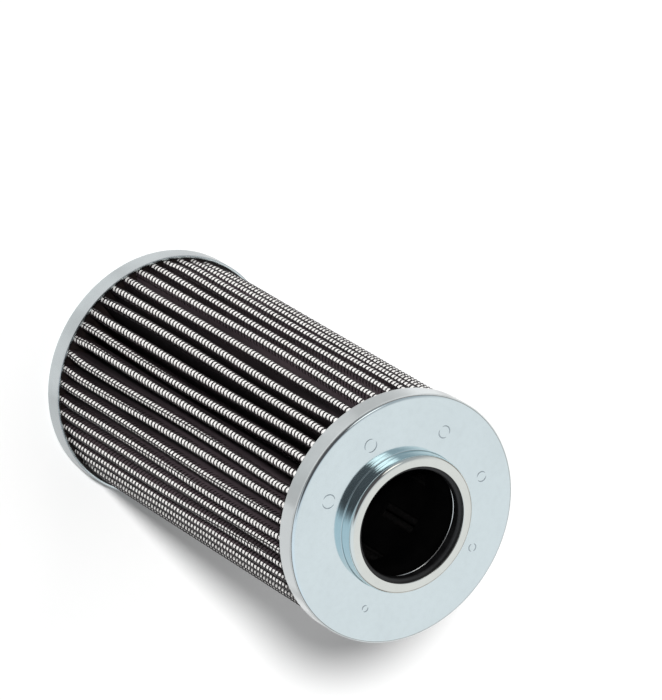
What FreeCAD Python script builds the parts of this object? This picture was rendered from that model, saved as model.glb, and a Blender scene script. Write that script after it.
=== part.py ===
# A pleated hydraulic filter element that stands on its closed end, neck up.
# Millimetres. The axis is +Z and the origin is the centre of the closed end's outer face.
# A cup-shaped steel cap closes each end. Between them stands a pack of plies, folded into
# deep pleats round a perforated core tube and bonded into both caps. The open end's cap
# carries a drawn neck, which holds a rubber ring that seals on the housing's spigot.
import FreeCAD, Part
import math
import os

V = FreeCAD.Vector
AXIS = V(0, 0, 1)
BASE = V(0, 0, 0)

# Overall
CAP_RADIUS = 47.5
BODY_LENGTH = 171.2        # over the outer faces of both caps
NECK_RADIUS = 26.5
NECK_HEIGHT = 6.0          # above the open end's face

# Caps
CAP_SHEET = 1.0
CAP_RIM_HEIGHT = 8.3
CAP_EDGE_RADIUS = 1.5
POTTING_DEPTH = 4.0
POTTING_CLEARANCE = 0.05

# Neck
NECK_SHEET = 1.2
NECK_EDGE_RADIUS = 1.7
NECK_LIP = 4.25            # width of its turned-in front
NECK_HOLE_CLEARANCE = 0.08
FLANGE_RADIUS = 40.0

# Seal and the ring behind it
SPIGOT_CLEARANCE = 1.25    # of the housing's spigot to the neck's mouth
SEAL_SQUEEZE = 0.3
SEAL_BEVEL = 0.8           # at its mouth
SEAL_CLEARANCE = 0.15      # to the neck's wall
SEAL_END_CLEARANCE = 0.2   # to the ring behind it
SEAT_SPIGOT_CLEARANCE = 0.3
SEAT_SHEET = 0.9
SEAT_CLEARANCE = 0.06      # to the neck's wall
SEAT_HEIGHT = 0.4          # of its face above the open end's face

# Core tube
CORE_WALL = 0.8
CORE_CLEARANCE = 0.25      # to the ring that centres it
CORE_SLOTS_ROUND = 8
CORE_SLOT_ROWS = 5
CORE_SLOT_WIDTH = 6.0
CORE_SLOT_LAND = 8.0       # steel between two rows of slots
CORE_SLOT_MARGIN = 14.0    # from the pack's ends to the slots

# Pleat pack
PLEAT_COUNT = 46
PLEAT_RIM_CLEARANCE = 0.25
PLEAT_CORE_CLEARANCE = 0.2
FOLD_GAP = 0.65            # half the gap left inside a fold
VALLEY_GAP = 0.12          # half the gap at the foot of a valley
OUTER_MESH = 0.55
FLEECE = 0.15
MEDIA = 0.35
INNER_MESH = 0.3
TIP_SHOULDER = 0.45        # how far the mesh's fold drops at its edges
WIRE_GAP = 0.9             # opening between two lengthwise wires on a tip
WIRE_WIDTH = 0.5           # the wire between two openings
MESH_MARGIN = 6.0          # from the pack's ends to the openings

# Worked out from the sizes above
TOP = BODY_LENGTH
CAP_BORE = CAP_RADIUS - CAP_SHEET
PACK = OUTER_MESH + FLEECE + MEDIA + INNER_MESH
NECK_BORE = NECK_RADIUS - NECK_SHEET
NECK_TOP = TOP + NECK_HEIGHT
NECK_MOUTH = NECK_RADIUS - NECK_LIP
SPIGOT_RADIUS = NECK_MOUTH - SPIGOT_CLEARANCE
FLANGE_TOP = TOP - CAP_SHEET
FLANGE_FOOT = FLANGE_TOP - NECK_SHEET
SEAT_RADIUS = NECK_BORE - SEAT_CLEARANCE
SEAT_MOUTH = SPIGOT_RADIUS + SEAT_SPIGOT_CLEARANCE
SEAT_TOP = TOP + SEAT_HEIGHT
SEAT_FOOT = SEAT_TOP - SEAT_SHEET
CORE_RADIUS = SEAT_RADIUS - SEAT_SHEET - CORE_CLEARANCE
PLEAT_TIP = CAP_BORE - PLEAT_RIM_CLEARANCE
PLEAT_FOOT = CORE_RADIUS + PLEAT_CORE_CLEARANCE + PACK
PLEAT_BOTTOM = CAP_SHEET + POTTING_DEPTH
PLEAT_TOP = FLANGE_FOOT - POTTING_DEPTH
HALF_PITCH = math.pi / PLEAT_COUNT
CORE_SLOT_PITCH = (
    PLEAT_TOP - PLEAT_BOTTOM - 2 * CORE_SLOT_MARGIN + CORE_SLOT_LAND
) / CORE_SLOT_ROWS
CORE_SLOT_HEIGHT = CORE_SLOT_PITCH - CORE_SLOT_LAND
ROUND_STEPS = 2            # chords in a rounded edge


def turned(profile):
    """A solid of revolution: a closed (radius, height) profile turned about the axis."""
    wire = Part.makePolygon([V(r, 0, z) for r, z in profile + profile[:1]])
    return Part.Face(wire).revolve(BASE, AXIS, 360)


def ring(inner, outer, foot, top):
    return turned([(inner, foot), (outer, foot), (outer, top), (inner, top)])


def rounded(centre, radius, start, end):
    """Points along an arc of a profile, by angle in degrees from outwards (+r) to up (+z)."""
    angles = [
        math.radians(start + (end - start) * step / ROUND_STEPS)
        for step in range(ROUND_STEPS + 1)
    ]
    return [(centre[0] + radius * math.cos(a), centre[1] + radius * math.sin(a)) for a in angles]


def cup_profile(hole):
    """The section of a drawn cup, mouth down and its face at the height of zero."""
    edge = CAP_RADIUS - CAP_EDGE_RADIUS
    return [(hole, -CAP_SHEET), (hole, 0)] + rounded(
        (edge, -CAP_EDGE_RADIUS), CAP_EDGE_RADIUS, 90, 0
    ) + [
        (CAP_RADIUS, -CAP_RIM_HEIGHT),
        (CAP_BORE, -CAP_RIM_HEIGHT),
        (CAP_BORE, -CAP_SHEET),
    ]


def closed_end_cap():
    return turned([(r, -z) for r, z in cup_profile(0)])


def open_end_cap():
    return turned([(r, TOP + z) for r, z in cup_profile(NECK_RADIUS + NECK_HOLE_CLEARANCE)])


def neck_collar():
    """A drawn collar: a flange under the cap, a wall through it and a turned-in front."""
    edge = (NECK_RADIUS - NECK_EDGE_RADIUS, NECK_TOP - NECK_EDGE_RADIUS)
    return turned([
        (NECK_BORE, FLANGE_FOOT),
        (FLANGE_RADIUS, FLANGE_FOOT),
        (FLANGE_RADIUS, FLANGE_TOP),
        (NECK_RADIUS, FLANGE_TOP),
    ] + rounded(edge, NECK_EDGE_RADIUS, 0, 90) + [
        (NECK_MOUTH, NECK_TOP),
        (NECK_MOUTH, NECK_TOP - NECK_SHEET),
        (NECK_BORE, NECK_TOP - NECK_SHEET),
    ])


def seal_ring():
    """A square-cut rubber ring behind the neck's front, bevelled where the spigot enters."""
    outer = NECK_BORE - SEAL_CLEARANCE
    inner = SPIGOT_RADIUS - SEAL_SQUEEZE
    top = NECK_TOP - NECK_SHEET
    foot = SEAT_TOP + SEAL_END_CLEARANCE
    return turned([
        (inner, foot),
        (outer, foot),
        (outer, top),
        (inner + SEAL_BEVEL, top),
        (inner, top - SEAL_BEVEL),
    ])


def seal_seat_ring():
    """A pressed ring that backs the seal and centres the core tube with its skirt."""
    return turned([
        (SEAT_MOUTH, SEAT_TOP),
        (SEAT_RADIUS, SEAT_TOP),
        (SEAT_RADIUS, FLANGE_FOOT),
        (SEAT_RADIUS - SEAT_SHEET, FLANGE_FOOT),
        (SEAT_RADIUS - SEAT_SHEET, SEAT_FOOT),
        (SEAT_MOUTH, SEAT_FOOT),
    ])


def core_tube():
    """A tube rolled from slotted sheet, with its slots in rows."""
    tube = ring(CORE_RADIUS - CORE_WALL, CORE_RADIUS, CAP_SHEET, SEAT_FOOT)
    cutters = []
    for row in range(CORE_SLOT_ROWS):
        foot = PLEAT_BOTTOM + CORE_SLOT_MARGIN + row * CORE_SLOT_PITCH
        for number in range(CORE_SLOTS_ROUND):
            slot = Part.makeBox(
                CORE_RADIUS + CORE_WALL, CORE_SLOT_WIDTH, CORE_SLOT_HEIGHT,
                V(0, -CORE_SLOT_WIDTH / 2, foot),
            )
            slot.rotate(BASE, AXIS, 360 / CORE_SLOTS_ROUND * number)
            cutters.append(slot)
    return tube.cut(Part.makeCompound(cutters))


def crossing(point, direction, distance, normal):
    """Where a line meets the line that lies at a distance along a unit normal (2-D)."""
    along = direction[0] * normal[0] + direction[1] * normal[1]
    start = point[0] * normal[0] + point[1] * normal[1]
    step = (distance - start) / along
    return point[0] + step * direction[0], point[1] + step * direction[1]


def pleat_corners(depth):
    """The tip corner and the foot corner of one pleat's right flank, a depth into the pack.

    The pleat points along +y. Tip, flank and valley floor all move inwards by the depth.
    """
    half_tip = PACK + FOLD_GAP
    valley = (math.sin(HALF_PITCH), math.cos(HALF_PITCH))
    tip = (half_tip, PLEAT_TIP)
    foot = (
        PLEAT_FOOT * valley[0] - VALLEY_GAP * valley[1],
        PLEAT_FOOT * valley[1] + VALLEY_GAP * valley[0],
    )
    run = (tip[0] - foot[0], tip[1] - foot[1])
    length = math.hypot(*run)
    run = (run[0] / length, run[1] / length)
    shifted = (tip[0] - depth * run[1], tip[1] + depth * run[0])
    return (
        crossing(shifted, run, PLEAT_TIP - depth, (0, 1)),
        crossing(shifted, run, PLEAT_FOOT - depth, valley),
    )


def pleat_outline(depth, shoulder=0):
    """The closed outline of all pleats at a depth, with the tips' edges dropped by a shoulder."""
    tip, foot = pleat_corners(depth)
    crown = [(-tip[0], tip[1] - shoulder), (tip[0], tip[1] - shoulder)]
    if shoulder:
        flat = tip[0] - shoulder
        crown[1:1] = [(-flat, tip[1]), (flat, tip[1])]
    pleat = [(-foot[0], foot[1])] + crown + [foot]
    points = []
    for number in range(PLEAT_COUNT):
        turn = 2 * HALF_PITCH * number
        sine, cosine = math.sin(turn), math.cos(turn)
        points += [V(x * cosine + y * sine, y * cosine - x * sine, 0) for x, y in pleat]
    return Part.makePolygon(points + points[:1])


def filled(outline):
    """All that an outline holds, over the pack's whole height."""
    face = Part.Face(outline)
    face.translate(V(0, 0, PLEAT_BOTTOM))
    return face.extrude(V(0, 0, PLEAT_TOP - PLEAT_BOTTOM))


def ply(start, thickness, shoulder=0):
    """One ply of the pack, between two depths."""
    return filled(pleat_outline(start, shoulder)).cut(filled(pleat_outline(start + thickness)))


def outer_support_mesh():
    """The outer mesh: wires along each rounded tip, open on both sides of the middle one."""
    gaps = []
    for number in range(PLEAT_COUNT):
        for start in (WIRE_WIDTH / 2, -WIRE_WIDTH / 2 - WIRE_GAP):
            gap = Part.makeBox(
                WIRE_GAP, 2 * OUTER_MESH, PLEAT_TOP - PLEAT_BOTTOM - 2 * MESH_MARGIN,
                V(start, PLEAT_TIP - 1.5 * OUTER_MESH, PLEAT_BOTTOM + MESH_MARGIN),
            )
            gap.rotate(BASE, AXIS, 360 / PLEAT_COUNT * number)
            gaps.append(gap)
    return ply(0, OUTER_MESH, TIP_SHOULDER).cut(Part.makeCompound(gaps))


def prefilter_fleece():
    return ply(OUTER_MESH, FLEECE)


def fibre_media():
    return ply(OUTER_MESH + FLEECE, MEDIA)


def inner_support_mesh():
    return ply(OUTER_MESH + FLEECE + MEDIA, INNER_MESH)


def closed_end_potting():
    return ring(
        CORE_RADIUS + POTTING_CLEARANCE, CAP_BORE - POTTING_CLEARANCE,
        CAP_SHEET, PLEAT_BOTTOM,
    )


def open_end_potting():
    return ring(
        CORE_RADIUS + POTTING_CLEARANCE, CAP_BORE - POTTING_CLEARANCE,
        PLEAT_TOP, FLANGE_FOOT,
    )


PARTS = {
    "closed_end_cap": closed_end_cap,
    "open_end_cap": open_end_cap,
    "neck_collar": neck_collar,
    "seal_ring": seal_ring,
    "seal_seat_ring": seal_seat_ring,
    "core_tube": core_tube,
    "outer_support_mesh": outer_support_mesh,
    "prefilter_fleece": prefilter_fleece,
    "fibre_media": fibre_media,
    "inner_support_mesh": inner_support_mesh,
    "closed_end_potting": closed_end_potting,
    "open_end_potting": open_end_potting,
}

os.makedirs("parts", exist_ok=True)
for name, make in PARTS.items():
    make().exportStep(f"parts/{name}.step")
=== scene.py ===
import math

import bmesh
import bpy
import numpy as np
from mathutils import Matrix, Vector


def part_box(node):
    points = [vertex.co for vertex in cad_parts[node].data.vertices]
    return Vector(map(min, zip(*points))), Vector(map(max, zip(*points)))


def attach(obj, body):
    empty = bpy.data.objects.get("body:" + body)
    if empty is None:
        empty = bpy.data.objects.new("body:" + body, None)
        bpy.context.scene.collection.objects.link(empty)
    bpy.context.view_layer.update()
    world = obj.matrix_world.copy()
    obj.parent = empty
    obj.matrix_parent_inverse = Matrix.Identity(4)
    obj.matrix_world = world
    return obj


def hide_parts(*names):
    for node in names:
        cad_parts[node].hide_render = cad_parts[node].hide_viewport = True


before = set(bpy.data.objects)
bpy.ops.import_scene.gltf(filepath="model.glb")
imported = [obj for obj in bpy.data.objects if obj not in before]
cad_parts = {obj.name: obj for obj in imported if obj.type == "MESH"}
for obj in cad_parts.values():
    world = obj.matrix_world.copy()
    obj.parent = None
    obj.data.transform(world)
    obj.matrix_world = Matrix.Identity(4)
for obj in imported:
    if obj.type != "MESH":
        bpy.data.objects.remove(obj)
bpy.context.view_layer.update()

# A pleated hydraulic filter element that stands on its closed end, neck up.
# Shapes are worked out in millimetres and put into the meshes in metres.
MM = 0.001


def extent(node):
    """The lowest and highest corner of a CAD node, in millimetres."""
    low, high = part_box(node)
    return np.array(low) / MM, np.array(high) / MM


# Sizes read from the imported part
CAP_RADIUS = extent("closed_end_cap")[1][0]
CLOSED_RIM = extent("closed_end_cap")[1][2]
OPEN_RIM, TOP = (corner[2] for corner in extent("open_end_cap"))
FLANGE_FOOT, NECK_TOP = (corner[2] for corner in extent("neck_collar"))
PACK_LOW, PACK_HIGH = (corner[2] for corner in extent("outer_support_mesh"))
PACK_RADIUS = extent("outer_support_mesh")[1][1]
SEAL_FOOT, SEAL_TOP = (corner[2] for corner in extent("seal_ring"))
SEAL_RADIUS = extent("seal_ring")[1][0]
SEAT_FOOT, SEAT_TOP = (corner[2] for corner in extent("seal_seat_ring"))
SEAT_RADIUS = extent("seal_seat_ring")[1][0]

# The drawn caps and the roundings of their edges
CAP_SHEET = 1.0
CAP_BEND = 1.5             # between face and wall, on the outside
CAP_CORNER = 0.6           # and on the inside
CUT_EDGE = 0.35            # of a sheet's cut edge, on the outside
CUT_CORNER = 0.2           # and on the inside
NECK_FIT = 0.08            # between the neck and the hole in the open cap

# The neck collar, whose flange lies under the open cap
NECK_RADIUS = 26.5
NECK_SHEET = 1.2
NECK_BEND = 1.7            # of its turned-in front, on the outside
NECK_CORNER = 0.2          # and on the inside
NECK_MOUTH = 22.25
FLANGE_RADIUS = 40.0
FLANGE_BEND = 0.4          # between wall and flange, on the inside
FILLET = 0.5               # width of the fillet where the wall meets the cap's face
FILLET_ROUND = 0.9 * FILLET
FILLET_SUNK = 0.02         # depth of its foot under the face, at the wall

# The rubber and the ring that it lies on
SEAL_MOUTH = 20.7
SEAL_FRONT = 0.9           # roundings of its mouth, towards the neck's front
SEAL_BACK = 1.6            # and towards the seat
SEAL_EDGE = 0.3
SEAT_MOUTH = 21.3
SEAT_SHEET = 0.9
SEAT_FRONT = 0.44          # roundings of the seat's mouth
SEAT_BACK = 0.4
SEAT_BEND = 0.3

# Weld marks on the open cap's face
WELD_CIRCLE = 35.0         # on which they lie
WELD_LINE = 0.22           # half the width of a mark's raised line
WELD_RISE = 0.07
WELD_BREAKS = 2            # times that a line dips under the face
WELD_DIP = 0.35            # how deep it dips, in the middle and to either side, in rises
WELD_SWING = 0.75
WELD_STEP = 3              # turns of the dips for each turn of a mark round the axis
WELD_MARKS = (             # degrees round the axis, and the radius of the mark
    (13.7, 2.6), (-28.2, 2.5), (-81.8, 2.3), (-126.6, 1.9), (-172.6, 1.5), (100.6, 1.2),
)
RING_STEPS = 48
LINE_STEPS = 8

# Turned pieces
TURNS = 240                # steps round the axis
ARC_STEPS = 6              # chords in a rounded edge
HOLD = 0.06                # strip beside a rounded edge that keeps flats flat
SHARP = math.radians(40)   # edges steeper than this stay crisp
SAME_PLACE = 1e-6          # in metres: points nearer than this are merged
NO_LENGTH = 1e-7           # and edges shorter than this dissolved

# The outer mesh's wires
CROSS_WIRE = 0.34          # radius of the wires that run round over the tips
LONG_WIRE = 0.26           # and of those along the pleats
WIRE_SIDES = 4             # four, so that the ring at a wire's end is one quad
CRIMP = 0.07               # how far a wire weaves to either side
SUNK = 0.02                # height of its lowest middle above the soft media
STAND = SUNK + 2 * CRIMP + max(LONG_WIRE, CROSS_WIRE)    # from the media to the outside
MESH_PITCH = 2.06          # between cross wires
FIRST_ROW = 0.75           # height of the first cross wire, in pitches
MESH_ACROSS = 3.4          # between lengthwise wires, a cell
WIRE_REACH = 1             # lengthwise wires each side of a tip's middle one
FINE_REACH = 1.5           # cells each side of that one where a cross wire has close places
FINE_PLACES = 13
CROSS_REACH = 1.9          # cells to a cross wire's ends
GOES_UNDER = (2.7, 3.8)    # from the tip's middle, where the flank's wires go into the media
UNDER = 0.42

# How the cross wires slant, in rise for each millimetre across, and how their rows stray
SLANT = 0.12
SLANT_STEP = 3.3           # from pleat to pleat, in radians, as are the steps below
SLANT_START = 1.0
SLANT_BY_TURNS = 0.08
ROW_STRAY = 0.12
ROW_LENGTH = 9             # height in which the rows' wave turns by a radian
ROW_STEP = 2.1

# How the mesh leans on the tips: towards a wire in the middle below 0, a gap there above it
LEAN = -0.4                # at half height
LEAN_HEIGHT = 90           # height in which it grows by 1
LEAN_ROUND = 1.3           # in one wave round the element
GAP_TURN = 4.0             # radians round the axis, where most tips have a gap in the middle
LEAN_STRAY = 0.4
LEAN_STEP = 2.9
LEAN_FULL = 0.6            # past this either way the mesh lies there fully

# The pleats
PLEATS = 46
PITCH = 2 * math.pi / PLEATS
TIP_HALF = 1.5             # of the white media, at a pleat's tip
TIP_HEIGHT = 3.0
TIP_SQUARE = 0.85          # 1 for an ellipse, less for a squarer tip
TIP_TOP = PACK_RADIUS - STAND
FOOT_RADIUS = 25.1
FOOT_HALF = 0.67
FOOT_ROUND = 0.6
VALLEY_POINTS = 6          # in half a pleat's section
FLANK_POINTS = 5
TIP_POINTS = 11
NEAR = 0.35                # to the places on both sides that give a section's direction
PLY = 0.5                  # thickness of the white plies together
PLY_GAP = 0.02
INNER_MESH = 0.3
PLY_LEVELS = 24            # heights at which a sheet has points
INNER_LEVELS = 16
CROWDED = 0.4              # share by which they crowd towards the ends
WHITE_REACH = (1.56, 1.63)  # from the tip's middle, where the media's colour goes from white to painted shade

# How the pleats stray sideways and how the caps draw them in
WANDER = 0.65              # times the sum of the waves
STRAY_FROM = FOOT_RADIUS + 4
STRAIGHT_END = 14          # height from either end in which the straying grows
WAVES = (                  # size, step from pleat to pleat, step for each millimetre up, start
    (0.5, 2.3, 0, 0.7),
    (0.45, 1.7, 1 / 34, 1.1),
    (0.35, 0.9, -1 / 21, 0),
)
END_DRAW = 0.4             # inwards, under the caps
END_REACH = 3.5            # past a rim to where it is down to a third


def smoothstep(low, high, x):
    """0 below low, 1 above high, and 3 t squared less 2 t cubed between, t being the share."""
    t = np.clip((x - low) / (high - low), 0, 1)
    return t * t * (3 - 2 * t)


def grid_faces(rows, columns, wrap_rows=False, wrap_columns=False):
    """Quads between neighbours on a grid of vertices, row by row."""
    row = np.arange(rows if wrap_rows else rows - 1)[:, None]
    column = np.arange(columns if wrap_columns else columns - 1)[None, :]
    next_row, next_column = (row + 1) % rows, (column + 1) % columns
    quads = np.stack([
        row * columns + column,
        row * columns + next_column,
        next_row * columns + next_column,
        next_row * columns + column,
    ], axis=-1)
    return quads.reshape(-1, 4)


def piece(name, points, quads, material, nodes=(), uv=None):
    """A smooth mesh of quads that rides on the root body and stands for the CAD nodes."""
    mesh = bpy.data.meshes.new(name)
    mesh.vertices.add(len(points))
    mesh.vertices.foreach_set("co", (points * MM).astype(np.float32).ravel())
    mesh.loops.add(quads.size)
    mesh.loops.foreach_set("vertex_index", quads.astype(np.int32).ravel())
    mesh.polygons.add(len(quads))
    mesh.polygons.foreach_set("loop_start", np.arange(0, quads.size, 4, dtype=np.int32))
    mesh.update(calc_edges=True)
    mesh.polygons.foreach_set("use_smooth", np.ones(len(quads), dtype=bool))
    if uv is not None:
        layer = mesh.uv_layers.new(name="Lay")
        layer.data.foreach_set("uv", uv[quads.ravel()].astype(np.float32).ravel())
    mesh.materials.append(material)
    made = bpy.data.objects.new(name, mesh)
    bpy.context.scene.collection.objects.link(made)
    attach(made, "root")
    if nodes:
        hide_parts(*nodes)
    return made


def profile(*corners):
    """A closed section through (radius, height, rounding) corners.

    Each rounding is an arc of equal chords, tangent to both sides, with a point just
    outside each of its ends, so that smooth shading leaves the flats flat.
    """
    points = []
    for number, (r, z, rounding) in enumerate(corners):
        corner = np.array([r, z])
        if rounding == 0:
            points.append(corner)
            continue
        before = np.array(corners[number - 1][:2]) - corner
        after = np.array(corners[(number + 1) % len(corners)][:2]) - corner
        before, after = before / np.linalg.norm(before), after / np.linalg.norm(after)
        half = math.acos(np.clip(before @ after, -1, 1)) / 2
        back = rounding / math.tan(half)
        bisector = (before + after) / np.linalg.norm(before + after)
        centre = corner + bisector * rounding / math.sin(half)
        start, end = corner + before * back - centre, corner + after * back - centre
        sweep = math.pi - 2 * half
        share = np.linspace(0, 1, ARC_STEPS + 1)[:, None]
        arc = (np.sin((1 - share) * sweep) * start + np.sin(share * sweep) * end) / math.sin(sweep)
        points.append(centre + start + before * HOLD)
        points += list(centre + arc)
        points.append(centre + end + after * HOLD)
    return np.array(points)


def lathe(name, section, material, nodes):
    """A closed (radius, height) section carried round the axis, with its poles merged."""
    angle = np.linspace(0, 2 * np.pi, TURNS, endpoint=False)
    r, z = section.T
    points = np.stack([
        np.outer(r, np.cos(angle)),
        np.outer(r, np.sin(angle)),
        np.outer(z, np.ones(TURNS)),
    ], axis=-1).reshape(-1, 3)
    made = piece(name, points, grid_faces(len(r), TURNS, True, True), material, nodes)
    work = bmesh.new()
    work.from_mesh(made.data)
    bmesh.ops.remove_doubles(work, verts=work.verts, dist=SAME_PLACE)
    bmesh.ops.dissolve_degenerate(work, dist=NO_LENGTH, edges=work.edges)
    bmesh.ops.recalc_face_normals(work, faces=work.faces)
    work.to_mesh(made.data)
    work.free()
    made.data.set_sharp_from_angle(angle=SHARP)


class Signal:
    """A number that varies over a surface. Arithmetic on it adds Math nodes."""

    def __init__(self, graph, socket):
        self.graph, self.socket = graph, socket

    def __add__(self, other):
        return self.graph.math("ADD", self, other)

    def __radd__(self, other):
        return self.graph.math("ADD", other, self)

    def __sub__(self, other):
        return self.graph.math("SUBTRACT", self, other)

    def __rsub__(self, other):
        return self.graph.math("SUBTRACT", other, self)

    def __mul__(self, other):
        return self.graph.math("MULTIPLY", self, other)

    def __rmul__(self, other):
        return self.graph.math("MULTIPLY", other, self)

    def root(self):
        """The square root."""
        return self.graph.math("SQRT", self)

    def ramp(self, low, high):
        """0 below low, 1 above high and smooth between."""
        return self.graph.signal(
            "ShaderNodeMapRange", {"interpolation_type": "SMOOTHSTEP"},
            {"Value": self, "From Min": low, "From Max": high},
        )


class Graph:
    """The nodes of a material or of the world."""

    def __init__(self, holder):
        holder.use_nodes = True
        self.tree = holder.node_tree

    def node(self, kind, settings=None, inputs=None):
        """Any node: its settings first, then the values or links of its sockets."""
        node = self.tree.nodes.new(kind)
        for key, value in (settings or {}).items():
            setattr(node, key, value)
        for key, value in (inputs or {}).items():
            self.join(node.inputs[key], value)
        return node

    def join(self, socket, value):
        """Links a socket to a signal or another socket, or sets it to a value."""
        if isinstance(value, Signal):
            self.tree.links.new(value.socket, socket)
        elif isinstance(value, bpy.types.NodeSocket):
            self.tree.links.new(value, socket)
        else:
            socket.default_value = value

    def signal(self, kind, settings, inputs, output=0):
        """The number that a node gives out."""
        return Signal(self, self.node(kind, settings, inputs).outputs[output])

    def math(self, operation, *values):
        """A Math node on signals and numbers."""
        return self.signal("ShaderNodeMath", {"operation": operation}, dict(enumerate(values)))

    def seen(self, *kinds):
        """1 for the kinds of ray that are named, such as Camera, and 0 for the others."""
        path = self.node("ShaderNodeLightPath")
        return sum(Signal(self, path.outputs[f"Is {kind} Ray"]) for kind in kinds)

    def blend(self, factor, first, second):
        """A shader between two, by a signal."""
        node = self.node("ShaderNodeMixShader", {}, {0: factor, 1: first, 2: second})
        return node.outputs[0]


class Paint(Graph):
    """A material around one Principled shader, whose constants go straight to its sockets."""

    def __init__(self, name, **constants):
        self.material = bpy.data.materials.new(name)
        super().__init__(self.material)
        self.shader = self.tree.nodes["Principled BSDF"]
        for socket, value in constants.items():
            self.feed(socket.replace("_", " "), value)

    def feed(self, socket, value):
        """Links one of the shader's sockets, or sets it to a value."""
        self.join(self.shader.inputs[socket], value)

    def place(self, stretch=(1, 1, 1)):
        """Object coordinates in metres, times the stretch, as a vector."""
        spot = self.node("ShaderNodeTexCoord").outputs["Object"]
        return self.node("ShaderNodeMapping", {}, {"Vector": spot, "Scale": stretch}).outputs[0]

    def split(self, vector):
        """The three numbers of a vector, as signals."""
        node = self.node("ShaderNodeSeparateXYZ", {}, {0: vector})
        return [Signal(self, output) for output in node.outputs]

    def noise(self, scale, detail=3, roughness=0.5, stretch=(1, 1, 1)):
        """Noise around 0.5, with its scale in cells to the metre."""
        return self.signal("ShaderNodeTexNoise", {}, {
            "Vector": self.place(stretch), "Scale": scale, "Detail": detail,
            "Roughness": roughness,
        })

    def mix(self, factor, first, second, how="MIX"):
        """A colour between two by a signal, or towards their product with how="MULTIPLY".

        The node's inputs 6 and 7 and its output 2 are its colours.
        """
        node = self.node(
            "ShaderNodeMix", {"data_type": "RGBA", "blend_type": how},
            {"Factor": factor, 6: first, 7: second},
        )
        return node.outputs[2]

    def bump(self, height, depth, strength):
        """A signal from 0 to 1 becomes a shading normal, with its depth in millimetres."""
        node = self.node("ShaderNodeBump", {}, {
            "Height": height, "Distance": depth * MM, "Strength": strength,
        })
        self.feed("Normal", node.outputs[0])


def colour(*screen):
    """A linear colour from 0 to 255 screen values of red, green and blue."""
    share = np.array(screen) / 255
    linear = np.where(share <= 0.04045, share / 12.92, ((share + 0.055) / 1.055) ** 2.4)
    return (*linear.tolist(), 1.0)


WALL_EDGE = (0.6, 0.1)          # inside a wall's radius, where its own painted tint, painted streaks and drawn lines start and are full
MOTTLED = (0.8, 0.8, 0.8, 1)    # by which the mottle, the smudges and the painted reflection streaks darken zinc


def zinc_plate(name, tint, gloss, painted_wall_tone, wall_radius, drawn=0):
    """Zinc plate: bright pale metal with a soft mottle, fine handling lines and smudges.

    A turned piece's wall, from its radius outwards, has a tint of its own and soft upright
    darker streaks, both painted reflection tones, and, where it was drawn deep, fine lines
    that run round it.
    """
    paint = Paint(name, Metallic=1.0)
    x, y = paint.split(paint.place())[:2]
    wall = (x * x + y * y).root().ramp(*((wall_radius - edge) * MM for edge in WALL_EDGE))
    cloud = paint.noise(38, detail=4, roughness=0.6)
    mottle = paint.noise(420)
    lines = paint.noise(260, detail=2, stretch=(1, 0.12, 1))
    streaks = paint.noise(34, detail=2, stretch=(1, 1, 0.1))
    shade = 0.2 * cloud.ramp(0.35, 0.75) + 0.1 * mottle.ramp(0.4, 0.7)
    # The wall's upright darker streaks are a painted reflection.
    shade = shade + 1.2 * wall * streaks.ramp(0.4, 0.65)
    grain = 0.4 * mottle + 0.6 * lines
    if drawn:
        grain = grain + drawn * wall * paint.noise(1100, detail=1, stretch=(0.03, 0.03, 1))
    # The wall's own tint is a painted reflection tone, set apart from the face's.
    tint = paint.mix(wall, tint, painted_wall_tone)
    paint.feed("Base Color", paint.mix(shade, tint, paint.mix(1, tint, MOTTLED, "MULTIPLY")))
    paint.feed("Roughness", gloss + 0.06 * cloud + 0.03 * lines)
    paint.bump(grain, 0.04, 0.35)
    return paint.material


def coated_wire():
    """Black epoxy on steel wire, with a brown cast and a soft sheen."""
    paint = Paint("coated_wire", Roughness=0.42)
    blotch = paint.noise(90).ramp(0.3, 0.8)
    paint.feed("Base Color", paint.mix(blotch, colour(20, 16, 18), colour(44, 35, 38)))
    paint.bump(paint.noise(2200, detail=2), 0.03, 0.3)
    return paint.material


def white_media():
    """White fleece at the tips. Down the valleys its colour is painted dark as shade, with lighter
    streaks of painted sheen.
    """
    paint = Paint("white_media", Roughness=0.85)
    lay = paint.node("ShaderNodeUVMap", {"uv_map": "Lay"}).outputs[0]
    reach = paint.split(lay)[0]
    fibre = paint.noise(1500)
    white = paint.mix(fibre.ramp(0.3, 0.7), colour(242, 241, 239), colour(229, 227, 224))
    # Painted shade down the valleys, with lighter streaks of painted sheen.
    streak = paint.noise(50, stretch=(1, 1, 0.1)).ramp(0.4, 0.64)
    deep = paint.mix(streak, colour(32, 27, 29), colour(86, 75, 80))
    paint.feed("Base Color", paint.mix(reach.ramp(*WHITE_REACH), white, deep))
    paint.bump(fibre, 0.1, 0.4)
    return paint.material


def inner_mesh():
    """The black coated wire cloth on the clean side, seen only through the core's slots, painted
    darker still as the shade in there.
    """
    paint = Paint("inner_mesh", Roughness=0.5)
    blotch = paint.noise(900, detail=2).ramp(0.4, 0.6)
    # Both colours are painted darker than the coated wire, as shade.
    paint.feed("Base Color", paint.mix(blotch, colour(9, 9, 9), colour(16, 15, 15)))
    paint.bump(paint.noise(1400, detail=2), 0.2, 0.6)
    return paint.material


def rubber():
    """Black nitrile rubber: moulded satin with a faint bloom."""
    paint = Paint("seal_rubber")
    bloom = paint.noise(160, detail=4, roughness=0.65)
    paint.feed("Base Color", paint.mix(bloom.ramp(0.4, 0.8), colour(12, 12, 13), colour(25, 25, 26)))
    paint.feed("Roughness", 0.36 + 0.2 * bloom)
    paint.bump(bloom, 0.05, 0.25)
    return paint.material


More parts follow.
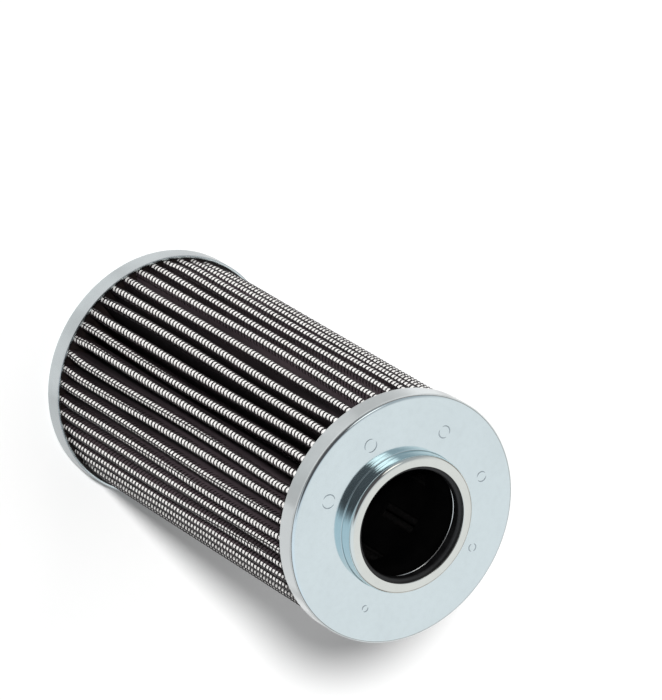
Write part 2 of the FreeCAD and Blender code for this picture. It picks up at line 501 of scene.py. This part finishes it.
def core_steel():
    """Oiled dark steel of the core tube, painted darker still as the shade inside the bore."""
    paint = Paint("core_steel", Metallic=0.8)
    stain = paint.noise(70, detail=4, roughness=0.6)
    # Both colours are near black, as painted shade inside the bore.
    paint.feed("Base Color", paint.mix(stain.ramp(0.3, 0.7), colour(14, 14, 15), colour(26, 25, 25)))
    paint.feed("Roughness", 0.4 + 0.25 * stain)
    paint.bump(paint.noise(500), 0.06, 0.3)
    return paint.material


def adhesive():
    """Dark set adhesive, a little glossy and uneven."""
    paint = Paint("adhesive", Roughness=0.35)
    flow = paint.noise(220)
    paint.feed("Base Color", paint.mix(flow.ramp(0.3, 0.7), colour(16, 13, 13), colour(32, 26, 25)))
    paint.bump(flow, 0.3, 0.5)
    return paint.material


def half_pleat(depth):
    """Half a pleat's section from the valley's middle to the tip's, a depth below the media.

    It is in the pleat's own frame, x across and y outwards. The valley's floor is half an
    ellipse in the valley's own frame, the flank is a straight line and the tip is a quarter
    of a rounded square (a superellipse).
    """
    quarter = np.linspace(0, np.pi / 2, VALLEY_POINTS)
    across = -(FOOT_HALF + depth) * np.sin(quarter)
    along = FOOT_RADIUS + FOOT_ROUND - (FOOT_ROUND + depth) * np.cos(quarter)
    turn = PITCH / 2
    valley = np.stack([
        along * np.sin(turn) + across * np.cos(turn),
        along * np.cos(turn) - across * np.sin(turn),
    ], axis=-1)
    quarter = np.linspace(np.pi / 2, 0, TIP_POINTS)
    tip = np.stack([
        (TIP_HALF - depth) * np.sin(quarter) ** TIP_SQUARE,
        TIP_TOP - TIP_HEIGHT + (TIP_HEIGHT - depth) * np.cos(quarter) ** TIP_SQUARE,
    ], axis=-1)
    share = np.linspace(0, 1, FLANK_POINTS)[1:-1, None]
    flank = valley[-1] * (1 - share) + tip[0] * share
    return np.concatenate([valley, flank, tip])


def whole_pleat(depth):
    """A pleat's section from valley to valley, and how far each point is past the tip's middle."""
    half = half_pleat(depth)
    section = np.concatenate([half * (-1, 1), half[-2::-1]])
    step = np.linalg.norm(np.diff(section, axis=0), axis=1)
    along = np.append(0, np.cumsum(step))
    return section, along - along[len(half) - 1]


def settle(pleat, x, y, z):
    """Places on pleats, in each pleat's own frame, as places on the element.

    The pleats stray sideways in a sum of slow sine waves, more so further out and away from
    the ends. The caps draw them in by a bell curve about each rim, in full under the cap.
    """
    outward = smoothstep(STRAY_FROM, TIP_TOP, y)
    wave = sum(
        size * np.sin(by_pleat * pleat + by_height * z + start)
        for size, by_pleat, by_height, start in WAVES
    )
    free = smoothstep(0, STRAIGHT_END, z - PACK_LOW) * smoothstep(0, STRAIGHT_END, PACK_HIGH - z)
    drawn = sum(np.exp(-((z - rim) / END_REACH) ** 2) for rim in (CLOSED_RIM, OPEN_RIM))
    drawn = np.where((z < CLOSED_RIM) | (z > OPEN_RIM), 1, drawn)
    x = x + WANDER * wave * outward * free
    y = y - END_DRAW * drawn * outward
    turn = PITCH * pleat
    return np.stack(np.broadcast_arrays(
        x * np.cos(turn) + y * np.sin(turn),
        y * np.cos(turn) - x * np.sin(turn),
        z,
    ), axis=-1)


def pleated_sheet(name, outer_depth, inner_depth, levels, material, slot, *nodes):
    """A ply with thickness: the outer surface up, over the end and the inner surface down.

    Rows run along the height, closer together at the ends, and columns round all the pleats.
    The UV map's u is the distance from the nearest tip's middle along the section, and v is
    the height.
    """
    share = np.linspace(0, 1, levels)
    share = smoothstep(0, 1, CROWDED * smoothstep(0, 1, share) + (1 - CROWDED) * share)
    height = PACK_LOW + (PACK_HIGH - PACK_LOW) * share
    points, lay = [], []
    for depth, z in ((outer_depth, height), (inner_depth, height[::-1])):
        section, along = whole_pleat(depth)
        x, y = np.tile(section[:-1].T, PLEATS)
        reach = np.tile(np.abs(along[:-1]), PLEATS)
        pleat = np.repeat(np.arange(PLEATS), len(section) - 1)
        points.append(settle(pleat, x, y, z[:, None]))
        lay.append(np.stack(np.broadcast_arrays(reach, z[:, None]), axis=-1))
    quads = grid_faces(2 * levels, len(reach), True, True)[:, ::-1]
    points, lay = np.concatenate(points).reshape(-1, 3), np.concatenate(lay).reshape(-1, 2)
    piece(name, points, quads, material, nodes, lay)


def mesh_path(reach, lift):
    """Places on a pleat's section: a distance past the tip's middle, lifted off the media.

    The lift is square to the line between the places a little before and a little after.
    """
    section, along = whole_pleat(0)

    def place(distance):
        return np.stack([np.interp(distance, along, line) for line in section.T])

    run = place(reach + NEAR) - place(reach - NEAR)
    run /= np.linalg.norm(run, axis=0)
    x, y = place(reach)
    return x - lift * run[1], y + lift * run[0]


def tubes(paths, out, radius):
    """Round wires along many paths at once: a ring of points round each place of each path.

    paths is (wires, places, 3), and out points away from the media at each place. A ring is
    out times the cosine and the side direction times the sine of an angle. One quad closes
    each end.
    """
    run = np.gradient(paths, axis=1)
    run /= np.linalg.norm(run, axis=2, keepdims=True)
    side = np.cross(run, out)
    side /= np.linalg.norm(side, axis=2, keepdims=True)
    out = np.cross(side, run)
    angle = np.linspace(0, 2 * np.pi, WIRE_SIDES, endpoint=False) + np.pi / WIRE_SIDES
    angle = angle[:, None]
    ring = np.cos(angle) * out[:, :, None, :] + np.sin(angle) * side[:, :, None, :]
    points = paths[:, :, None, :] + radius * ring
    wires, places = paths.shape[:2]
    first = np.arange(WIRE_SIDES)
    ends = np.array([first[::-1], (places - 1) * WIRE_SIDES + first])
    wire = np.concatenate([grid_faces(places, WIRE_SIDES, False, True), ends])
    start = (np.arange(wires) * places * WIRE_SIDES)[:, None, None]
    return points.reshape(-1, 3), (wire + start).reshape(-1, 4)


def one_share(items, part, parts):
    """One of several nearly equal runs of a row of items."""
    return items[len(items) * part // parts: len(items) * (part + 1) // parts]


def row_heights():
    """The heights of the cross wires, a pitch apart."""
    rows = int((PACK_HIGH - PACK_LOW - MESH_PITCH) // MESH_PITCH)
    return PACK_LOW + MESH_PITCH * (FIRST_ROW + np.arange(rows))


def strayed(pleat, height, reach):
    """A row's height at a distance past the tip's middle.

    It rises by a slant times that distance. The slant is a sine from pleat to pleat, and a
    little more or less by turns. The row as a whole strays by a sine of height and pleat.
    """
    by_turns = np.where(pleat % 2, SLANT_BY_TURNS, -SLANT_BY_TURNS)
    slant = SLANT * np.sin(SLANT_STEP * pleat + SLANT_START) + by_turns
    return height + slant * reach + ROW_STRAY * np.sin(height / ROW_LENGTH + ROW_STEP * pleat)


def drift(pleat, height):
    """How far the mesh lies off a tip's middle: 0 for a wire there, half a cell for a gap.

    It is a smooth step of the lean, which grows up the pleat, goes in one cosine wave round
    the element and strays by a sine from pleat to pleat.
    """
    lean = (
        LEAN + (height - (PACK_LOW + PACK_HIGH) / 2) / LEAN_HEIGHT
        + LEAN_ROUND * np.cos(PITCH * pleat - GAP_TURN)
        + LEAN_STRAY * np.sin(LEAN_STEP * pleat)
    )
    return MESH_ACROSS / 2 * smoothstep(-LEAN_FULL, LEAN_FULL, lean)


def woven_wires(name, pleat, reach, height, over, radius, material):
    """Wires on the pleats, by the distances past the tips' middles and heights of their places.

    over is 1 where a wire passes over the others and -1 where it passes under them, and the
    lift off the media goes with it. On the flanks the wires go down into the soft media. The
    same places, 1 mm further off it, show which way is out.
    """
    lift = SUNK + CRIMP + CRIMP * over - UNDER * smoothstep(*GOES_UNDER, np.abs(reach))
    paths, outer = (
        settle(pleat, *mesh_path(reach, lift + more), height).reshape(-1, reach.shape[-1], 3)
        for more in (0, 1)
    )
    points, quads = tubes(paths, outer - paths, radius)
    return piece(name, points, quads, material)


def cross_wires(name, part, parts, material):
    """The wires that run round over the tips, for one share of the rows.

    Each goes a little way down both flanks. It weaves by a cosine of the distance, one
    wave for two cells, which is turned round from row to row.
    """
    pleat = np.arange(PLEATS)[:, None]
    heights = row_heights()
    row = one_share(np.arange(len(heights)), part, parts)[:, None, None]
    fine = np.linspace(-FINE_REACH, FINE_REACH, FINE_PLACES)
    cell = np.concatenate([[-CROSS_REACH], fine, [CROSS_REACH]])
    over = np.where(row % 2, 1, -1) * np.cos(np.pi * cell)
    reach = cell * MESH_ACROSS + drift(pleat, heights[row])
    height = strayed(pleat, heights[row], reach)
    height = np.clip(height, PACK_LOW + CROSS_WIRE, PACK_HIGH - CROSS_WIRE)
    return woven_wires(name, pleat, reach, height, over, CROSS_WIRE, material)


def long_wires(name, part, parts, material):
    """The wires that run along the pleats, for one share of the pleats.

    Each has a place at every row and one at both ends of the pack. It passes over and under
    the rows by turns, and so do neighbouring wires at the same row.
    """
    pleat = one_share(np.arange(PLEATS), part, parts)[:, None, None]
    wire = np.arange(-WIRE_REACH, WIRE_REACH + 1)[:, None]
    heights = np.concatenate([[PACK_LOW], row_heights(), [PACK_HIGH]])
    over = np.where((np.arange(len(heights)) + wire) % 2, 1, -1)
    reach = wire * MESH_ACROSS + drift(pleat, heights)
    height = np.clip(strayed(pleat, heights, reach), PACK_LOW, PACK_HIGH)
    height[..., 0], height[..., -1] = PACK_LOW, PACK_HIGH
    woven_wires(name, pleat, reach, height, over, LONG_WIRE, material)


def pleat_pack():
    """The white plies, the mesh on their clean side, and the outer mesh in shares."""
    pleated_sheet(
        "media_plies", 0, PLY, PLY_LEVELS, white_media(), "white_media",
        "prefilter_fleece", "fibre_media",
    )
    pleated_sheet(
        "clean_side_mesh", PLY + PLY_GAP, PLY + INNER_MESH, INNER_LEVELS, inner_mesh(),
        "coated_wire", "inner_support_mesh",
    )
    wire = coated_wire()
    shares = [cross_wires(f"cross_wires_{part + 1}", part, 3, wire) for part in range(3)]
    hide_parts("outer_support_mesh")
    for part in range(2):
        long_wires(f"lengthwise_wires_{part + 1}", part, 2, wire)


def weld_marks():
    """Raised rings on the open cap's face, each a flat tube half sunk in the metal.

    A ring's line is an ellipse carried round a circle. Its height follows a sine on the way
    round, cut off at its top, so that the line dips under the face in places and is broken.
    """
    pressed = colour(176, 186, 191)
    material = zinc_plate("zinc_weld", pressed, 0.12, pressed, CAP_RADIUS)
    round_mark = np.linspace(0, 2 * np.pi, RING_STEPS, endpoint=False)[:, None]
    round_line = np.linspace(0, 2 * np.pi, LINE_STEPS, endpoint=False)[None, :]
    marks = []
    for degrees, radius in WELD_MARKS:
        angle = math.radians(degrees)
        reach = radius + WELD_LINE * np.cos(round_line)
        dip = WELD_DIP - WELD_SWING * np.sin(WELD_BREAKS * round_mark + WELD_STEP * angle)
        marks.append(np.stack(np.broadcast_arrays(
            WELD_CIRCLE * math.sin(angle) + reach * np.cos(round_mark),
            -WELD_CIRCLE * math.cos(angle) + reach * np.sin(round_mark),
            TOP + WELD_RISE * (np.sin(round_line) - np.maximum(dip, 0)),
        ), axis=-1).reshape(-1, 3))
    ring = grid_faces(RING_STEPS, LINE_STEPS, True, True)[:, ::-1]
    start = (np.arange(len(marks)) * len(marks[0]))[:, None, None]
    piece("weld_marks", np.concatenate(marks), (ring + start).reshape(-1, 4), material)


def caps():
    """The two cups: the closed one with a full face, the open one with a hole for the neck."""
    bore = CAP_RADIUS - CAP_SHEET
    lathe("closed_cap_shell", profile(
        (0, 0, 0),
        (CAP_RADIUS, 0, CAP_BEND),
        (CAP_RADIUS, CLOSED_RIM, CUT_EDGE),
        (bore, CLOSED_RIM, CUT_CORNER),
        (bore, CAP_SHEET, CAP_CORNER),
        (0, CAP_SHEET, 0),
    ), zinc_plate(
        # Its second colour, the rim's darker tint, is a painted reflection tone.
        "zinc_rim", colour(229, 240, 242), 0.2, colour(198, 204, 206), CAP_RADIUS,
    ), ("closed_end_cap",))
    hole = NECK_RADIUS + NECK_FIT
    lathe("open_cap_shell", profile(
        (hole, TOP, 0),
        (hole, TOP - CAP_SHEET, 0),
        (bore, TOP - CAP_SHEET, CAP_CORNER),
        (bore, OPEN_RIM, CUT_CORNER),
        (CAP_RADIUS, OPEN_RIM, CUT_EDGE),
        (CAP_RADIUS, TOP, CAP_BEND),
    ), zinc_plate(
        # Its second colour, the wall's tint, is a painted reflection tone.
        "zinc_face", colour(229, 240, 242), 0.06, colour(216, 221, 222), CAP_RADIUS,
    ), ("open_end_cap",))


def neck():
    """The collar with its flange and turned-in front, and the seat and rubber in its bore."""
    inner = NECK_RADIUS - NECK_SHEET
    lathe("neck_shell", profile(
        (inner, FLANGE_FOOT, FLANGE_BEND),
        (FLANGE_RADIUS, FLANGE_FOOT, 0),
        (FLANGE_RADIUS, TOP - CAP_SHEET, 0),
        (NECK_RADIUS, TOP - CAP_SHEET, 0),
        (NECK_RADIUS, TOP - FILLET_SUNK, 0),
        (NECK_RADIUS + FILLET, TOP - FILLET_SUNK / 2, 0),
        (NECK_RADIUS, TOP, FILLET_ROUND),
        (NECK_RADIUS, NECK_TOP, NECK_BEND),
        (NECK_MOUTH, NECK_TOP, CUT_EDGE),
        (NECK_MOUTH, NECK_TOP - NECK_SHEET, CUT_CORNER),
        (inner, NECK_TOP - NECK_SHEET, NECK_CORNER),
    ), zinc_plate(
        # Its second colour, the wall's bluer tint, is a painted reflection tone.
        "zinc_neck", colour(233, 235, 229), 0.03, colour(214, 236, 241), NECK_RADIUS, drawn=10,
    ), ("neck_collar",))
    pale = colour(244, 245, 243)
    lathe("seal_seat", profile(
        (SEAT_MOUTH, SEAT_TOP, SEAT_FRONT),
        (SEAT_MOUTH, SEAT_TOP - SEAT_SHEET, SEAT_BACK),
        (SEAT_RADIUS - SEAT_SHEET, SEAT_TOP - SEAT_SHEET, 0),
        (SEAT_RADIUS - SEAT_SHEET, SEAT_FOOT, 0),
        (SEAT_RADIUS, SEAT_FOOT, 0),
        (SEAT_RADIUS, SEAT_TOP, SEAT_BEND),
    ), zinc_plate("zinc_seat", pale, 0.04, pale, CAP_RADIUS), ("seal_seat_ring",))
    lathe("seal", profile(
        (SEAL_MOUTH, SEAL_TOP, SEAL_FRONT),
        (SEAL_MOUTH, SEAL_FOOT, SEAL_BACK),
        (SEAL_RADIUS, SEAL_FOOT, SEAL_EDGE),
        (SEAL_RADIUS, SEAL_TOP, SEAL_EDGE),
    ), rubber(), ("seal_ring",))


def finish_inside():
    """Finishes for the CAD nodes that show as they are: the core tube and the adhesive."""
    beds = adhesive()
    for node, material in (
        ("core_tube", core_steel()),
        ("closed_end_potting", beds),
        ("open_end_potting", beds),
    ):
        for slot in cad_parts[node].material_slots:
            slot.material = material


# The camera: the photograph's viewing angle, turned so that the neck points down and right
LENS = 360                      # focal length
ELEVATION = 51.2                # degrees above the floor
AZIMUTH = -1.4                  # degrees to the right of +Y, where it looks
ROLL = 120.3
AIM = (-39.6, -0.64, 85.9)      # the place in the middle of the picture
DISTANCE = 2581.5
FAR = 100                       # metres that it sees


def standing(right, up, back, place):
    """The matrix that puts a camera or lamp in its place, facing away from back."""
    return Matrix(np.column_stack([right, up, back, place]).tolist() + [[0, 0, 0, 1]])


def camera():
    """A camera at a distance from the aim, turned by the roll about its line of sight."""
    azimuth, elevation, roll = (math.radians(value) for value in (AZIMUTH, ELEVATION, ROLL))
    ahead = np.array([
        math.sin(azimuth) * math.cos(elevation),
        math.cos(azimuth) * math.cos(elevation),
        -math.sin(elevation),
    ])
    level = np.cross(ahead, (0, 0, 1))
    level /= np.linalg.norm(level)
    upright = np.cross(level, ahead)
    right = math.cos(roll) * level + math.sin(roll) * upright
    up = np.cross(right, ahead)
    place = (np.array(AIM) - ahead * DISTANCE) * MM
    data = bpy.data.cameras.new("camera")
    data.lens = LENS
    data.clip_end = FAR
    made = bpy.data.objects.new("camera", data)
    bpy.context.scene.collection.objects.link(made)
    made.matrix_world = standing(right, up, -ahead, place)
    bpy.context.scene.camera = made


# The floor, in metres
FLOOR_HALF = 4.0
FLOOR_COLOUR = (0.96, 0.96, 0.955, 1)
FLOOR_GLOW = 0.05               # share of glow where the floor is seen
MIRRORED_GLOW = 0.5             # and where a shiny surface mirrors it
DIM_PLACE = 0.19                # the middle of a dimmer patch before the element
DIM_NARROW = 2                  # the square of its length over its width
DIM_EDGE = (0.2 * DIM_PLACE, 0.9 * DIM_PLACE)
DIM_GLOW = (0.42, 0.44, 0.45, 1)
GREY_GLOW = (0.45, 0.45, 0.45, 1)
WHITE_GLOW = (1, 1, 1, 1)


def floor():
    """A white floor. It glows a little where it is seen, which lifts the shadow on it.

    Shiny surfaces mirror it with a stronger glow, in grey and white patches, and dimmer
    before the element.
    """
    corners = np.array([(-1, -1, 0), (1, -1, 0), (1, 1, 0), (-1, 1, 0)]) * FLOOR_HALF
    mesh = bpy.data.meshes.new("floor")
    mesh.from_pydata(corners.tolist(), [], [(0, 1, 2, 3)])
    made = bpy.data.objects.new("floor", mesh)
    bpy.context.scene.collection.objects.link(made)
    paint = Paint("floor", Roughness=1.0, Base_Color=FLOOR_COLOUR)
    x, y = paint.split(paint.place())[:2]
    y = y + DIM_PLACE
    dim = 1 - (DIM_NARROW * x * x + y * y).root().ramp(*DIM_EDGE)
    patches = paint.mix(paint.noise(9, detail=1).ramp(0.42, 0.58), GREY_GLOW, WHITE_GLOW)
    glow = paint.node("ShaderNodeEmission", {}, {"Color": paint.mix(dim, patches, DIM_GLOW)})
    share = FLOOR_GLOW * paint.seen("Camera", "Transmission") + MIRRORED_GLOW * paint.seen("Glossy")
    paint.join(
        paint.tree.nodes["Material Output"].inputs["Surface"],
        paint.blend(share, paint.shader.outputs[0], glow.outputs[0]),
    )
    mesh.materials.append(paint.material)


# The soft light: its tint, and its strength on the weak side and on the strong one
SOFT_FROM = (-0.72, 0.25, 0.65)
SOFT_EDGE = (0.1, 1)            # cosines of the angle from there, between which it grows
SOFT_TINT = (0.98, 0.99, 1)
SOFT_SKY = (0.1, 0.62)

# The studio that shiny surfaces mirror: the tint and strength of each of its parts
PALE_SKY = (0.96, 0.98, 1), 0.85
LEFT_SKY = (0.86, 0.93, 1), 0.48
RIGHT_SKY = (0.86, 0.93, 1), 0.92
DARK_SKY = (0.9, 0.87, 0.93), 0.1
LOW_SKY = (1, 0.93, 0.88), 0.25
STRIP_SKY = (1, 0.99, 0.97), 1.6
WHITE_SKY = (1, 1, 1), 1
FRONT_EDGE = (-0.6, -0.05)      # cosines from the front, where its own sky starts
FRONT_RISE = (0.12, 0.3)        # and from straight up, below which it isn't
SIDE_EDGE = (-0.4, 0.4)         # from the right, between the left and the right sky
LOW_EDGE = (0.1, 0.4)           # from straight up, where the dim edge above the floor ends
DARK_FROM = (-104, 51.2)        # azimuth and elevation of the dark patch's middle
DARK_EDGE = (44, 26)            # degrees from there to its outside and its full dark
STRIP_FROM = (-155, 51.2)       # and those of the bright strip beside it
STRIP_EDGE = (14, 5)


def sky():
    """A soft light, and white where it is seen. Shiny surfaces mirror a studio instead.

    The studio is pale behind the element, bluer on the camera's side and dim just above the
    floor, with a dark patch about the camera and a bright strip beside it.
    """
    world = bpy.data.worlds.new("studio")
    bpy.context.scene.world = world
    graph = Graph(world)
    way = graph.node("ShaderNodeTexCoord").outputs["Generated"]

    def background(tint, strength):
        """A light of one tint and strength."""
        node = graph.node("ShaderNodeBackground", {}, {"Color": (*tint, 1), "Strength": strength})
        return node.outputs[0]

    def near(direction):
        """The cosine of the angle between where a ray goes and a direction."""
        return graph.signal(
            "ShaderNodeVectorMath", {"operation": "DOT_PRODUCT"}, {0: way, 1: direction}, "Value",
        )

    def patch(place, edge):
        """1 in the middle of a round patch of the sky and 0 outside its edge."""
        azimuth, elevation = (math.radians(value) for value in place)
        middle = near((
            math.cos(azimuth) * math.cos(elevation),
            math.sin(azimuth) * math.cos(elevation),
            math.sin(elevation),
        ))
        return middle.ramp(*(math.cos(math.radians(value)) for value in edge))

    up = near((0, 0, 1))
    front = near((0, -1, 0)).ramp(*FRONT_EDGE) * up.ramp(*FRONT_RISE)
    right = near((1, 0, 0)).ramp(*SIDE_EDGE)
    facing = graph.blend(right, background(*LEFT_SKY), background(*RIGHT_SKY))
    dome = graph.blend(front, background(*PALE_SKY), facing)
    dome = graph.blend(patch(DARK_FROM, DARK_EDGE), dome, background(*DARK_SKY))
    dome = graph.blend(up.ramp(*LOW_EDGE), background(*LOW_SKY), dome)
    dome = graph.blend(patch(STRIP_FROM, STRIP_EDGE), dome, background(*STRIP_SKY))
    weak, strong = (background(SOFT_TINT, strength) for strength in SOFT_SKY)
    soft = graph.blend(near(SOFT_FROM).ramp(*SOFT_EDGE), weak, strong)
    light = graph.blend(graph.seen("Glossy"), soft, dome)
    seen = graph.blend(graph.seen("Camera", "Transmission"), light, background(*WHITE_SKY))
    graph.join(graph.tree.nodes["World Output"].inputs["Surface"], seen)


KEY_FROM = (-0.1, -0.62, 0.778)    # direction of the key light, from the element
KEY_SPREAD = math.radians(6)
KEY_POWER = 3.3


def key_light():
    """A soft lamp beside the camera, which shiny surfaces don't mirror."""
    back = np.array(KEY_FROM) / np.linalg.norm(KEY_FROM)
    side = np.cross((0, 1, 0), back)
    side /= np.linalg.norm(side)
    data = bpy.data.lights.new("key", "SUN")
    data.energy = KEY_POWER
    data.angle = KEY_SPREAD
    lamp = bpy.data.objects.new("key", data)
    bpy.context.scene.collection.objects.link(lamp)
    lamp.visible_glossy = False
    lamp.matrix_world = standing(side, np.cross(back, side), back, back)


camera()
weld_marks()
caps()
neck()
finish_inside()
pleat_pack()
floor()
sky()
key_light()
bpy.context.scene.view_settings.view_transform = "Standard"
